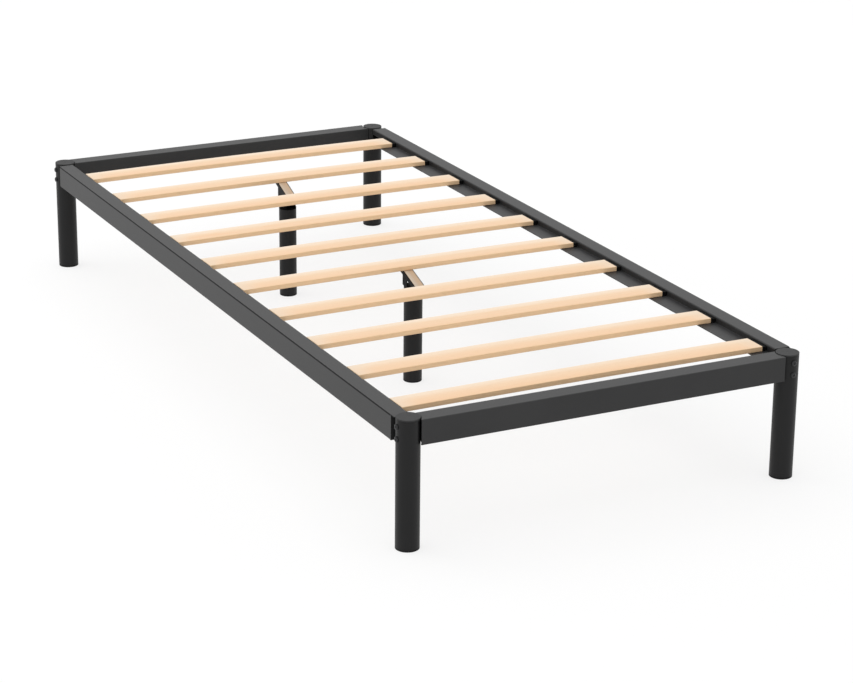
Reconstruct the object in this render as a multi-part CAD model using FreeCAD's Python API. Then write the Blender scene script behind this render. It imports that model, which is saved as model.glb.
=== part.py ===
"""Single bed frame: steel rails on round legs, ten wooden slats and two centre legs.

Millimetres, +Z up. The origin is on the floor, under the middle of the frame.
X runs across the bed from left to right, and Y along it from the foot end to the head end.
"""
import FreeCAD, Part
import math
import os

# Whole frame
BED_WIDTH = 900.0
BED_LENGTH = 2000.0
DECK_HEIGHT = 268.0           # top of the rails above the floor
RAIL_HEIGHT = 52.0
END_RAIL_WIDTH = 40.0         # width of the front and rear rails seen from above
SIDE_RAIL_WIDTH = 35.5
TUBE_WALL = 2.0
EDGE_RADIUS = 1.5

# Corner legs
LEG_RADIUS = 24.0
LEG_WALL = 1.5
LEG_TOP = 266.5
CAP_THICKNESS = 3.0
CAP_PLUG_DEPTH = 8.5
FOOT_THICKNESS = 4.0
FOOT_PLUG_DEPTH = 16.0
PLUG_WALL = 2.5
PLUG_PLAY = 0.1

# Side rails: a narrow tube outside, with a folded sheet over it
SIDE_TUBE_WIDTH = 18.0
SHEET = 2.0
RISER_HEIGHT = 13.0           # from the slat ledge up to the rail top
LEDGE_END_GAP = 120.0         # ledge stops this far short of the head end

# Rail ends, measured from the axis of the leg that they meet
SQUARE_END = LEG_RADIUS + 1.0
BOLTED_COPE = LEG_RADIUS + 1.5
BOLTED_REACH = 17.0
WELDED_REACH = 20.0
SIDE_WELDED_REACH = 12.0
PLATE = 4.0

# Corner bolts, M6
BOLT_RADIUS = 3.0
BOLT_LENGTH = 65.0
BOLT_HEIGHTS = (227.0, 252.0)
BOLT_HEAD_RADIUS = 6.0
BOLT_HEAD_HEIGHT = 3.5
SOCKET_FLATS = 4.0
SOCKET_DEPTH = 2.0
HOLE_PLAY = 0.3
THREAD_PLAY = 0.05
NUT_FLATS = 10.0
NUT_THICKNESS = 5.0

# Slats: they reach the riser on the left, and on the right they stop at a thick pad on a wider ledge
SLAT_COUNT = 10
SLAT_WIDTH = 56.5
SLAT_THICKNESS = 11.0
SLAT_CROWN = 2.0              # rise of the middle above the ends
FIRST_SLAT_Y = 836.0          # slat nearest the head end
HEAD_PITCH = 190.0            # between the slats of the head half
FOOT_PITCH = 194.5
HEAD_GAPS = 5
SLAT_EDGE_RADIUS = 1.0
BUFFER_HEIGHT = 9.5
BUFFER_PLAY = 0.4             # between a pad and the riser behind it
SIDES = {
    # name: (side, slat end, inner edge of the ledge and slat screw, all from the middle of the bed)
    "left": (-1, 411.4, 400.0, 405.4),
    "right": (1, 403.0, 372.0, 391.0),
}

# Wood screws
SCREW_RADIUS = 1.75
SCREW_HEAD_RADIUS = 3.6
SCREW_HEAD_HEIGHT = 2.2
SCREW_GRIP = 7.0

# Centre legs: a tube, a head plate, a box bracket, and a short channel holding a wooden strip
CENTRE_LEGS = {
    # name: (X and Y of the leg, then from its axis: how far left the channel lies, the channel's
    #        near and far ends, and the bracket's near and far ends)
    "rear": (-16.0, 525.0, -4.8, -58.0, 128.0, -20.0, 97.0),
    "front": (-8.0, -150.0, 10.3, -150.0, 57.0, -30.0, 12.0),
}
CENTRE_LEG_RADIUS = 21.0
HEAD_HEIGHT = 224.0           # top of the head plates above the floor
HEAD_PLATE = 3.0
CHANNEL_WEB = 1.5
CHANNEL_WIDTH = 23.0
CHANNEL_HEIGHT = 10.5
CHANNEL_TURN = -13.5          # degrees that the channel is turned away from the Y axis
STRIP_PLAY = 0.1
STRIP_THICKNESS = 9.4
STRIP_SCREW_INSET = 16.0

# Worked out from the above
HALF_WIDTH = BED_WIDTH / 2
HALF_LENGTH = BED_LENGTH / 2
LEG_X = HALF_WIDTH - LEG_RADIUS
LEG_Y = HALF_LENGTH - LEG_RADIUS
RAIL_BOTTOM = DECK_HEIGHT - RAIL_HEIGHT
TUBE_TOP = DECK_HEIGHT - SHEET
RISER_X = HALF_WIDTH - SIDE_RAIL_WIDTH
LEDGE_TOP = DECK_HEIGHT - RISER_HEIGHT
STRIP_TOP = LEDGE_TOP + SLAT_CROWN - STRIP_PLAY
CHANNEL_BOTTOM = STRIP_TOP - STRIP_THICKNESS - CHANNEL_WEB
CENTRE_TUBE_TOP = HEAD_HEIGHT - HEAD_PLATE

X_AXIS = FreeCAD.Vector(1, 0, 0)
Y_AXIS = FreeCAD.Vector(0, 1, 0)
Z_AXIS = FreeCAD.Vector(0, 0, 1)


# ---------- small helpers ----------

def block(x0, y0, z0, x1, y1, z1):
    """Box between two corners, given in any order."""
    low = FreeCAD.Vector(min(x0, x1), min(y0, y1), min(z0, z1))
    return Part.makeBox(abs(x1 - x0), abs(y1 - y0), abs(z1 - z0), low)


def rod(radius, start, axis, length):
    """Round bar from a start point along an axis."""
    return Part.makeCylinder(radius, length, start, axis)


def post(radius, x, y, z0, z1):
    """Upright round bar."""
    return rod(radius, FreeCAD.Vector(x, y, z0), Z_AXIS, z1 - z0)


def hexagon(flats, start, axis, length):
    """Hexagonal bar with two flats facing sideways, from a start point along an axis."""
    side = Z_AXIS.cross(axis).normalize()
    radius = flats / math.sqrt(3)
    corners = []
    for i in range(7):
        angle = math.radians(60 * i + 90)
        corners.append(start + side * (radius * math.cos(angle)) + Z_AXIS * (radius * math.sin(angle)))
    return Part.Face(Part.makePolygon(corners)).extrude(axis * length)


def straight_edges(shape, axis, length):
    """Straight edges of a shape that run along an axis and are at least that long."""
    found = []
    for edge in shape.Edges:
        if edge.Length >= length and isinstance(edge.Curve, Part.Line):
            if abs(edge.Curve.Direction.dot(axis)) > 0.999:
                found.append(edge)
    return found


def box_tube(x0, y0, z0, x1, y1, z1, axis):
    """Rectangular tube along X or Y, with rounded long edges and open ends."""
    outer = block(x0, y0, z0, x1, y1, z1)
    outer = outer.makeFillet(EDGE_RADIUS, straight_edges(outer, axis, 100))
    wall_x = 0 if axis == X_AXIS else TUBE_WALL
    wall_y = 0 if axis == Y_AXIS else TUBE_WALL
    inner = block(x0 + wall_x, y0 + wall_y, z0 + TUBE_WALL, x1 - wall_x, y1 - wall_y, z1 - TUBE_WALL)
    return outer.cut(inner)


def mirror_x(shape):
    """The same piece on the other side of the bed."""
    return shape.mirror(FreeCAD.Vector(0, 0, 0), X_AXIS)


def group(shapes):
    """Separate solids that share one node."""
    return Part.makeCompound(shapes)


# ---------- corner legs ----------

def leg_axes():
    """Name, X and Y of each corner leg."""
    places = {}
    for side, sx in (("left", -1), ("right", 1)):
        for end, sy in (("front", -1), ("rear", 1)):
            places[f"{side}_{end}"] = (sx * LEG_X, sy * LEG_Y)
    return places


def bolt_places():
    """Start under the head, and direction, of each corner bolt."""
    places = []
    for z in BOLT_HEIGHTS:
        for end in (-1, 1):
            places.append((FreeCAD.Vector(-HALF_WIDTH, end * LEG_Y, z), X_AXIS))
            places.append((FreeCAD.Vector(LEG_X, end * HALF_LENGTH, z), Y_AXIS * -end))
    return places


def bolt_holes(radius):
    """Clearance for every corner bolt, used to drill legs and plates."""
    return group([rod(radius, start, way, BOLT_LENGTH) for start, way in bolt_places()])


def leg_tube(x, y):
    """Round tube, drilled across for its bolts."""
    tube = post(LEG_RADIUS, x, y, FOOT_THICKNESS, LEG_TOP)
    tube = tube.cut(post(LEG_RADIUS - LEG_WALL, x, y, FOOT_THICKNESS, LEG_TOP))
    return tube.cut(bolt_holes(BOLT_RADIUS + HOLE_PLAY))


def leg_cap(x, y):
    """Flat round cap with a hollow plug that sits in the top of the tube."""
    lid = post(LEG_RADIUS, x, y, LEG_TOP, LEG_TOP + CAP_THICKNESS)
    rim = [edge for edge in lid.Edges if edge.BoundBox.ZMin > LEG_TOP + CAP_THICKNESS / 2]
    lid = lid.makeFillet(EDGE_RADIUS / 2, [edge for edge in rim if edge.Closed])
    plug_radius = LEG_RADIUS - LEG_WALL - PLUG_PLAY
    plug = post(plug_radius, x, y, LEG_TOP - CAP_PLUG_DEPTH, LEG_TOP)
    plug = plug.cut(post(plug_radius - PLUG_WALL, x, y, LEG_TOP - CAP_PLUG_DEPTH, LEG_TOP))
    return lid.fuse(plug).removeSplitter()


def foot(x, y, radius):
    """Glide with a chamfered tread and a hollow plug that sits in the bottom of the tube."""
    tread = post(radius, x, y, 0, FOOT_THICKNESS)
    rim = [edge for edge in tread.Edges if edge.Closed and edge.BoundBox.ZMax < FOOT_THICKNESS / 2]
    tread = tread.makeChamfer(1.0, rim)
    plug_radius = radius - LEG_WALL - PLUG_PLAY
    plug = post(plug_radius, x, y, FOOT_THICKNESS, FOOT_THICKNESS + FOOT_PLUG_DEPTH)
    hollow = post(plug_radius - PLUG_WALL, x, y, FOOT_THICKNESS, FOOT_THICKNESS + FOOT_PLUG_DEPTH)
    return tread.fuse(plug.cut(hollow)).removeSplitter()


# ---------- end rails ----------

def end_rail(end):
    """Front or rear tube: bolted to the left leg and welded to the right one, coped round both."""
    outer_y, inner_y = end * HALF_LENGTH, end * (HALF_LENGTH - END_RAIL_WIDTH)
    left, right = -LEG_X + BOLTED_REACH, LEG_X - WELDED_REACH
    low_y, high_y = min(outer_y, inner_y), max(outer_y, inner_y)
    tube = box_tube(left, low_y, RAIL_BOTTOM, right, high_y, DECK_HEIGHT, X_AXIS)
    for x, radius in ((-LEG_X, BOLTED_COPE), (LEG_X, LEG_RADIUS)):
        tube = tube.cut(post(radius, x, end * LEG_Y, RAIL_BOTTOM, DECK_HEIGHT))
    return tube


def end_rail_nut_plate(end):
    """Plate welded inside the bolted end of an end rail."""
    x = -LEG_X + BOLTED_COPE + TUBE_WALL
    low_y = min(end * HALF_LENGTH, end * (HALF_LENGTH - END_RAIL_WIDTH)) + TUBE_WALL
    plate = block(x, low_y, RAIL_BOTTOM + TUBE_WALL,
                  x + PLATE, low_y + END_RAIL_WIDTH - 2 * TUBE_WALL, DECK_HEIGHT - TUBE_WALL)
    return plate.cut(bolt_holes(BOLT_RADIUS + THREAD_PLAY))


# ---------- side rails, drawn on the right ----------

def side_tube():
    """Narrow tube from one end plate to the other."""
    plate_y = LEG_Y - SQUARE_END - PLATE
    return box_tube(HALF_WIDTH - SIDE_TUBE_WIDTH, -plate_y, RAIL_BOTTOM, HALF_WIDTH, plate_y, TUBE_TOP, Y_AXIS)


def end_plate(end):
    """Plate across the square-cut end of a side rail."""
    face_y = end * (LEG_Y - SQUARE_END)
    return block(RISER_X + SHEET, face_y, RAIL_BOTTOM, HALF_WIDTH, face_y - end * PLATE, TUBE_TOP)


def folded_ledge(name, front_welded):
    """Sheet folded three times: a flange over the tube, a riser, and the ledge for the slats."""
    ledge_x, screw_x = SIDES[name][2:]
    rear_y = LEG_Y - SQUARE_END
    front_y = -(LEG_Y - SIDE_WELDED_REACH) if front_welded else -rear_y
    ledge_front_y = -rear_y
    ledge_rear_y = HALF_LENGTH - LEDGE_END_GAP
    flange = block(RISER_X, front_y, TUBE_TOP, HALF_WIDTH, rear_y, DECK_HEIGHT)
    outer_top = [edge for edge in straight_edges(flange, Y_AXIS, 100) if edge.BoundBox.ZMin > TUBE_TOP]
    flange = flange.makeFillet(EDGE_RADIUS / 2, outer_top)
    riser = block(RISER_X, front_y, LEDGE_TOP, RISER_X + SHEET, rear_y, TUBE_TOP)
    ledge = block(ledge_x, ledge_front_y, LEDGE_TOP - SHEET, RISER_X + SHEET, ledge_rear_y, LEDGE_TOP)
    sheet = flange.fuse([riser, ledge]).removeSplitter()
    sheet = sheet.cut(post(LEG_RADIUS, LEG_X, -LEG_Y, LEDGE_TOP - SHEET, DECK_HEIGHT))
    return sheet.cut(group([screw_hole(screw_x, y) for y in slat_rows()]))


# ---------- corner bolts and nuts ----------

def corner_bolt(start, way):
    """Button-head bolt with a hexagon socket."""
    shank = rod(BOLT_RADIUS, start, way, BOLT_LENGTH)
    head = rod(BOLT_HEAD_RADIUS, start, way * -1, BOLT_HEAD_HEIGHT)
    top = start - way * BOLT_HEAD_HEIGHT
    rim = [edge for edge in head.Edges if edge.Closed and edge.CenterOfMass.distanceToPoint(top) < 0.1]
    head = head.makeFillet(BOLT_HEAD_HEIGHT * 0.6, rim)
    socket = hexagon(SOCKET_FLATS, top, way, SOCKET_DEPTH)
    return shank.fuse(head).removeSplitter().cut(socket)


def weld_nut(start, way):
    """Hexagon nut behind the plate that the bolt passes through."""
    along_x = abs(way.x) > 0.5
    plate_face = (BOLTED_COPE + TUBE_WALL if along_x else SQUARE_END) + PLATE
    seat = start + way * (LEG_RADIUS + plate_face)
    nut = hexagon(NUT_FLATS, seat, way, NUT_THICKNESS)
    return nut.cut(rod(BOLT_RADIUS + THREAD_PLAY, start, way, BOLT_LENGTH))


# ---------- slats ----------

def slat_rows():
    """Y of each slat's centre line, from the head end to the foot end."""
    rows = [FIRST_SLAT_Y]
    for gap in range(SLAT_COUNT - 1):
        rows.append(rows[-1] - (HEAD_PITCH if gap < HEAD_GAPS else FOOT_PITCH))
    return rows


def slat_screw_places():
    """X and Y of the screw under each slat end."""
    return [(side * screw_x, y) for y in slat_rows() for side, _, _, screw_x in SIDES.values()]


def screw_hole(x, y):
    """Clearance through the ledge, and the pilot hole in the wood above it."""
    return post(SCREW_RADIUS + THREAD_PLAY, x, y, LEDGE_TOP - SHEET, LEDGE_TOP + SCREW_GRIP)


def slat(y):
    """Bare wooden slat, bowed up a little: its long faces are two arcs."""
    x0, x1 = [side * slat_end for side, slat_end, _, _ in SIDES.values()]
    middle = (x0 + x1) / 2
    point = FreeCAD.Vector
    y0 = y - SLAT_WIDTH / 2
    low, high = LEDGE_TOP, LEDGE_TOP + SLAT_THICKNESS
    under = Part.Arc(point(x0, y0, low), point(middle, y0, low + SLAT_CROWN), point(x1, y0, low))
    over = Part.Arc(point(x1, y0, high), point(middle, y0, high + SLAT_CROWN), point(x0, y0, high))
    right = Part.LineSegment(point(x1, y0, low), point(x1, y0, high))
    left = Part.LineSegment(point(x0, y0, high), point(x0, y0, low))
    outline = Part.Wire([edge.toShape() for edge in (under, right, over, left)])
    wood = Part.Face(outline).extrude(Y_AXIS * SLAT_WIDTH)
    wood = wood.makeFillet(SLAT_EDGE_RADIUS, straight_edges(wood, Y_AXIS, SLAT_WIDTH / 2))
    return wood.cut(group([screw_hole(x, sy) for x, sy in slat_screw_places() if sy == y]))


def buffer_pad(side, slat_end, y):
    """Dark pad between a slat end and the riser."""
    return block(side * (slat_end + PLUG_PLAY), y - SLAT_WIDTH / 2, LEDGE_TOP,
                 side * (RISER_X - BUFFER_PLAY), y + SLAT_WIDTH / 2, LEDGE_TOP + BUFFER_HEIGHT)


def wood_screw(x, y, seat_z, length):
    """Pan-head screw driven upwards, with its head under seat_z."""
    head = post(SCREW_HEAD_RADIUS, x, y, seat_z - SCREW_HEAD_HEIGHT, seat_z)
    rim = [edge for edge in head.Edges if edge.Closed and edge.BoundBox.ZMax < seat_z - SCREW_HEAD_HEIGHT / 2]
    head = head.makeFillet(SCREW_HEAD_HEIGHT / 2, rim)
    return head.fuse(post(SCREW_RADIUS, x, y, seat_z, seat_z + length)).removeSplitter()


# ---------- centre legs ----------
# Channel, bracket and strip are drawn along Y beside the axis of a leg at the origin, then placed.

def placed(shape, x, y):
    """Turn a piece about the Z axis, and move it to its centre leg."""
    return shape.rotated(FreeCAD.Vector(0, 0, 0), Z_AXIS, CHANNEL_TURN).translated(FreeCAD.Vector(x, y, 0))


def strip_screw_rows(near, far):
    """Distance along the strip of the two screws that hold it."""
    return near + STRIP_SCREW_INSET, far - STRIP_SCREW_INSET


def centre_tube(x, y):
    """Round tube from the foot to the head plate."""
    tube = post(CENTRE_LEG_RADIUS, x, y, FOOT_THICKNESS, CENTRE_TUBE_TOP)
    return tube.cut(post(CENTRE_LEG_RADIUS - LEG_WALL, x, y, FOOT_THICKNESS, CENTRE_TUBE_TOP))


def head_plate(x, y):
    """Round plate that closes the tube and carries the bracket."""
    return post(CENTRE_LEG_RADIUS, x, y, CENTRE_TUBE_TOP, HEAD_HEIGHT)


def bracket(left, near, far):
    """Piece of box tube between the head plate and the channel, as wide as the channel."""
    x0, x1 = -left - CHANNEL_WIDTH / 2, -left + CHANNEL_WIDTH / 2
    outer = block(x0, near, HEAD_HEIGHT, x1, far, CHANNEL_BOTTOM)
    return outer.cut(block(x0 + LEG_WALL, near, HEAD_HEIGHT + LEG_WALL,
                           x1 - LEG_WALL, far, CHANNEL_BOTTOM - LEG_WALL))


def channel(left, near, far):
    """Shallow channel with a lip each side of the strip."""
    x0, x1 = -left - CHANNEL_WIDTH / 2, -left + CHANNEL_WIDTH / 2
    z0, z1 = CHANNEL_BOTTOM, CHANNEL_BOTTOM + CHANNEL_HEIGHT
    shape = block(x0, near, z0, x1, far, z1)
    shape = shape.cut(block(x0 + CHANNEL_WEB, near, z0 + CHANNEL_WEB, x1 - CHANNEL_WEB, far, z1))
    holes = [post(SCREW_RADIUS + THREAD_PLAY, -left, row, z0, z1) for row in strip_screw_rows(near, far)]
    return shape.cut(group(holes))


def packing_strip(left, near, far):
    """Wooden strip that the slats bear on."""
    half = CHANNEL_WIDTH / 2 - CHANNEL_WEB - STRIP_PLAY
    z0 = CHANNEL_BOTTOM + CHANNEL_WEB
    wood = block(-left - half, near + STRIP_PLAY, z0, -left + half, far, STRIP_TOP)
    holes = [post(SCREW_RADIUS + THREAD_PLAY, -left, row, z0, z0 + SCREW_GRIP - CHANNEL_WEB)
             for row in strip_screw_rows(near, far)]
    return wood.cut(group(holes))


def strip_screws():
    """Screws through each channel into its strip."""
    screws = []
    for x, y, left, near, far, _, _ in CENTRE_LEGS.values():
        for row in strip_screw_rows(near, far):
            screws.append(placed(wood_screw(-left, row, CHANNEL_BOTTOM, SCREW_GRIP), x, y))
    return screws


# ---------- the whole frame ----------

def build():
    """Every node of the frame by name."""
    nodes = {}
    for name, (x, y) in leg_axes().items():
        nodes[f"{name}_leg"] = leg_tube(x, y)
        nodes[f"{name}_leg_cap"] = leg_cap(x, y)
        nodes[f"{name}_foot"] = foot(x, y, LEG_RADIUS)

    for name, end in (("front", -1), ("rear", 1)):
        nodes[f"{name}_rail"] = end_rail(end)
        nodes[f"{name}_rail_nut_plate"] = end_rail_nut_plate(end)

    drill = bolt_holes(BOLT_RADIUS + THREAD_PLAY)
    nodes["right_rail_tube"] = side_tube()
    nodes["right_slat_ledge"] = folded_ledge("right", front_welded=False)
    nodes["right_rail_front_plate"] = end_plate(-1).cut(drill)
    nodes["right_rail_rear_plate"] = end_plate(1).cut(drill)
    nodes["left_rail_tube"] = mirror_x(side_tube())
    nodes["left_slat_ledge"] = mirror_x(folded_ledge("left", front_welded=True))
    nodes["left_rail_front_plate"] = mirror_x(end_plate(-1))
    nodes["left_rail_rear_plate"] = mirror_x(end_plate(1))

    nodes["corner_bolts"] = group([corner_bolt(start, way) for start, way in bolt_places()])
    nodes["weld_nuts"] = group([weld_nut(start, way) for start, way in bolt_places()])

    for number, y in enumerate(slat_rows(), start=1):
        nodes[f"slat_{number:02d}"] = slat(y)
    for name, (side, slat_end, _, _) in SIDES.items():
        nodes[f"{name}_slat_buffers"] = group([buffer_pad(side, slat_end, y) for y in slat_rows()])
    seat = LEDGE_TOP - SHEET
    nodes["slat_screws"] = group([wood_screw(x, y, seat, SHEET + SCREW_GRIP) for x, y in slat_screw_places()])

    for name, (x, y, left, near, far, bracket_near, bracket_far) in CENTRE_LEGS.items():
        nodes[f"{name}_centre_leg"] = centre_tube(x, y)
        nodes[f"{name}_centre_foot"] = foot(x, y, CENTRE_LEG_RADIUS)
        nodes[f"{name}_centre_head_plate"] = head_plate(x, y)
        nodes[f"{name}_centre_bracket"] = placed(bracket(left, bracket_near, bracket_far), x, y)
        nodes[f"{name}_centre_channel"] = placed(channel(left, near, far), x, y)
        nodes[f"{name}_packing_strip"] = placed(packing_strip(left, near, far), x, y)
    nodes["strip_screws"] = group(strip_screws())
    return nodes


def main():
    os.makedirs("parts", exist_ok=True)
    for name, shape in build().items():
        print(f"{name:28s} solids {len(shape.Solids):2d}  valid {shape.isValid()}  volume {shape.Volume / 1000:9.2f} cm3")
        shape.exportStep(f"parts/{name}.step")


main()
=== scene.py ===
"""Looks of a slatted single bed frame: steel rails on round legs, bare wooden slats, and its studio.

Sizes are in metres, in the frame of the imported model: +Z up from the floor, X across the bed from left to
right, and Y along it from the foot end to the head end.
"""
import math

import bpy
import numpy as np
from bpy.props import FloatProperty, FloatVectorProperty, IntProperty, PointerProperty
from mathutils import Matrix, Vector


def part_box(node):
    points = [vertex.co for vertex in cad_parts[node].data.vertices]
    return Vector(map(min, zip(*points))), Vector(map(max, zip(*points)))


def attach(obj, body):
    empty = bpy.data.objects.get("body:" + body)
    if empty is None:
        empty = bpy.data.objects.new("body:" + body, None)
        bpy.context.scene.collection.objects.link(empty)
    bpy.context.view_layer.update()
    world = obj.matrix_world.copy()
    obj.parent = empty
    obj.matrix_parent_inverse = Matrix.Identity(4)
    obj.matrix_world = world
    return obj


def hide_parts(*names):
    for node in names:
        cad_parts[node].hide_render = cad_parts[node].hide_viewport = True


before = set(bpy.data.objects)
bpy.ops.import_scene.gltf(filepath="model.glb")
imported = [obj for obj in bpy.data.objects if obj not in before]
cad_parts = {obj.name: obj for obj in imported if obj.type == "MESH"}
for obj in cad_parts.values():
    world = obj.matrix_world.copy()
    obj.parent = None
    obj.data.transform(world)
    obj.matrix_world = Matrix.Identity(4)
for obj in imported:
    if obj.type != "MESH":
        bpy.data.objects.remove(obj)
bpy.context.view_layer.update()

bl_info = {
    "name": "Slatted bed frame",
    "version": (1, 0, 0),
    "blender": (4, 5, 0),
    "location": "View3D > Sidebar > Bed Frame",
    "description": "Builds the steelwork, slats, fittings and studio of a slatted bed frame",
    "category": "Object",
}

BODY = "root"
MM = 0.001
CORNERS = [f"{side}_{end}" for side in ("left", "right") for end in ("front", "rear")]
CENTRES = ["front_centre", "rear_centre"]
SLATS = sorted(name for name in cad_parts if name.startswith("slat_") and name[5:].isdigit())
SHARP_ANGLE = math.radians(35)

# Sizes that the frame's boxes don't give
LEG_WALL = 1.5 * MM
CAP_THICKNESS = 3.0 * MM
CAP_CHAMFER = 0.3 * MM        # on a cap's lower edge
GATE_DEPTHS = {"front": 0.15 * MM, "rear": 0.6 * MM}    # of the mark in the middle of a cap
GATE_SLOPE = 0.8 * MM         # width of the shallow dish round that mark
FOOT_THICKNESS = 4.0 * MM
FOOT_EDGE = 1.1 * MM          # radius round the tread
FOOT_GROOVE = 0.5 * MM        # chamfer between the tread and the tube
PLUG_PLAY = 0.1 * MM
PLUG_WALL = 2.5 * MM
HUB = 0.5 * MM                # radius at which a moulding's outline starts
TUBE_WALL = 2.0 * MM
RAIL_END_GAP = 1.5 * MM       # between a rail's end and the leg that it meets
SHEET = 2.0 * MM
SIDE_RAIL_WIDTH = 35.5 * MM
SHORT_FLANGE = 3.2 * MM       # how far a flange stops short of a plate's outer face
SEAM_BAND = 1.2 * MM          # how far the shade under the flange's edge reaches
LEDGE_DROP = 13.0 * MM
LEDGE_FRONT = -0.951          # Y at which the ledges start
LEDGE_REAR = 0.880            # and at which they end
BOLT_HEIGHTS = (0.227, 0.252)
SOCKET_FLATS = 4.0 * MM
SOCKET_RADIUS = 2.3 * MM
STRIP_TURN = 13.5             # degrees clockwise from above
STRIP_ARRIS = 0.8 * MM
STRIP_END_ARRIS = 0.6 * MM
FLOOR_SPAN = 30.0
FLOOR_DROP = 0.2 * MM         # keeps the floor clear of the glides

# Refractive index, which sets how much of the white room a coat mirrors
RAIL_GLOSS, LEG_GLOSS, PLATE_GLOSS = 1.39, 1.32, 1.06

# How bright the packing strips' wood is next to the slats'
STRIP_SHADE = 0.58

# How finely the meshes are cut
ROUND_STEPS = 96              # round a leg, cap or glide
BOLT_STEPS = 36               # round a bolt
BEND_POINTS = 6               # along a bend or a rounded edge
FLATS = (0.015, 0.25, 0.5, 0.75, 0.985)                 # along each flat of an outline
LONG_STEPS = (0, 0.0006, 0.1, 0.3, 0.5, 0.7, 0.9, 0.9994, 1)    # along a rail
SHEET_STEPS = (0, 0.0003, 0.1, 0.3, 0.5, 0.7, 0.9, 0.9997, 1)   # along a folded sheet

# Parts given a near-black coat as painted shade, since they lie in the shade of others; but for the plate
# that shows beside its rail
PAINTED_SHADE_PARTS = ("_plate", "_bracket", "_channel")
OPEN_PLATE = "left_rail_front_plate"

# Lamps: places and sizes in metres, and the angle that the light from above fills
OVERHEAD_PLACE = (-0.7, 0.6, 3.0)
OVERHEAD_SPREAD = math.radians(80)
SIDE_LAMP_PLACE, SIDE_LAMP_AIM = (-2.8, 2.4, 1.3), (-0.45, 1.0, 0.2)
SIDE_LAMP_SIZE = (2.4, 1.6)


# ---------- settings ----------

def colour(name, description, default):
    """A linear colour that the user can change."""
    return FloatVectorProperty(name=name, description=description, default=default, size=3,
                               min=0.0, max=1.0, subtype="COLOR")


def length(name, description, default):
    """A length in metres that the user can change."""
    return FloatProperty(name=name, description=description, default=default, min=0.0,
                         precision=5, subtype="DISTANCE", unit="LENGTH")


def share(name, description, default):
    """A share from nothing to all that the user can change."""
    return FloatProperty(name=name, description=description, default=default, min=0.0, max=1.0,
                         subtype="FACTOR")


class BedSteelSettings(bpy.types.PropertyGroup):
    """Powder coat and fittings"""
    coat: colour("Rail coat", "Colour of the powder coat on rails and ledges", (0.023, 0.023, 0.0235))
    leg_coat: colour("Leg coat", "Colour of the powder coat on the legs", (0.0090, 0.0090, 0.0093))
    # Painted shade: a near-black coat for end plates, centre brackets and channels that lie in shade
    painted_shade_coat: colour("Painted shade coat", "Colour of end plates and centre brackets", (0.003, 0.003, 0.003))
    coat_roughness: share("Coat roughness", "Roughness of the powder coat", 0.42)
    coat_grain: length("Coat grain", "Size of the fine texture in the powder coat", 0.0009)
    tube_edge: length("Tube edge radius", "Radius along the outer edges of the rail tubes", 0.0015)
    seam: length("Seam", "How far the folded sheet stops short of the side rail's outer face", 0.0009)
    sheet_bend: length("Sheet bend radius", "Radius at the middle of the folded sheet's bends", 0.0016)
    leg_bevel: length("Leg bevel", "Bevel on the cut ends of the leg tubes", 0.0004)


class BedWoodSettings(bpy.types.PropertyGroup):
    """Slats and packing strips"""
    pale: colour("Pale wood", "Early wood on the broad faces", (0.80, 0.61, 0.43))
    warm: colour("Warm wood", "Late wood on the broad faces", (0.79, 0.49, 0.275))
    # Painted light: paler wood along each slat's rear edge, which faces the stronger light
    painted_rear_light: colour("Painted rear light", "Wood along the rear edge of a slat", (0.84, 0.72, 0.59))
    dry: colour("Dry wood", "Wood near the cut ends", (0.74, 0.62, 0.49))
    # Partly painted light: the narrow edges' colour is set brighter and warmer than their grain alone
    sawn: colour("Sawn edge", "Wood on the narrow edges", (0.95, 0.64, 0.375))
    end: colour("End grain", "Wood on the cut ends", (0.72, 0.54, 0.37))
    crown: length("Crown", "Rise of a slat's middle above its ends", 0.002)
    arris: length("Arris", "Radius on the long edges of a slat", 0.0013)
    end_arris: length("End arris", "Radius on the cut ends of a slat", 0.0008)
    ring_width: length("Ring width", "Distance between growth rings", 0.0036)
    seed: IntProperty(name="Seed", description="Chooses where each board was cut from the log", default=7)


class BedMouldingSettings(bpy.types.PropertyGroup):
    """Caps, glides and buffers"""
    cap: colour("Cap", "Colour of the leg caps", (0.021, 0.021, 0.0215))
    glide: colour("Glide", "Colour of the glides under the legs", (0.006, 0.006, 0.006))
    rubber: colour("Buffer", "Colour of the pads at the slat ends", (0.004, 0.004, 0.004))
    cap_edge: length("Cap edge radius", "Radius round the top of a cap", 0.0009)
    dimple: length("Dimple radius", "Radius of the gate mark in the middle of a cap", 0.0016)


class BedStageSettings(bpy.types.PropertyGroup):
    """Floor, lamps and camera"""
    floor: colour("Floor", "Colour of the studio floor", (0.75, 0.75, 0.75))
    floor_glow: share("Floor glow", "Share of plain white in what is seen of the floor", 0.75)
    ambient: FloatProperty(name="Ambient", description="Strength of the surrounding light",
                           default=0.74, min=0.0)
    overhead: FloatProperty(name="Overhead light", description="Strength of the soft light from above",
                            default=1.35, min=0.0)
    side: FloatProperty(name="Side lamp", description="Power of the lamp on the left", default=17.0,
                        min=0.0, unit="POWER")
    lens: FloatProperty(name="Lens", description="Focal length on a 36 mm wide sensor, in millimetres",
                        default=110.93, min=1.0)
    camera: FloatVectorProperty(name="Camera", description="Place of the camera", size=3,
                                default=(-2.4667, -5.1091, 2.0494), subtype="TRANSLATION", unit="LENGTH")
    aim: FloatVectorProperty(name="Aim", description="Camera's pitch down, roll, and turn to the right of +Y",
                             size=3, default=(0.3400, 0.0097, 0.4658), subtype="EULER", unit="ROTATION")


# ---------- shader graphs ----------

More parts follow.
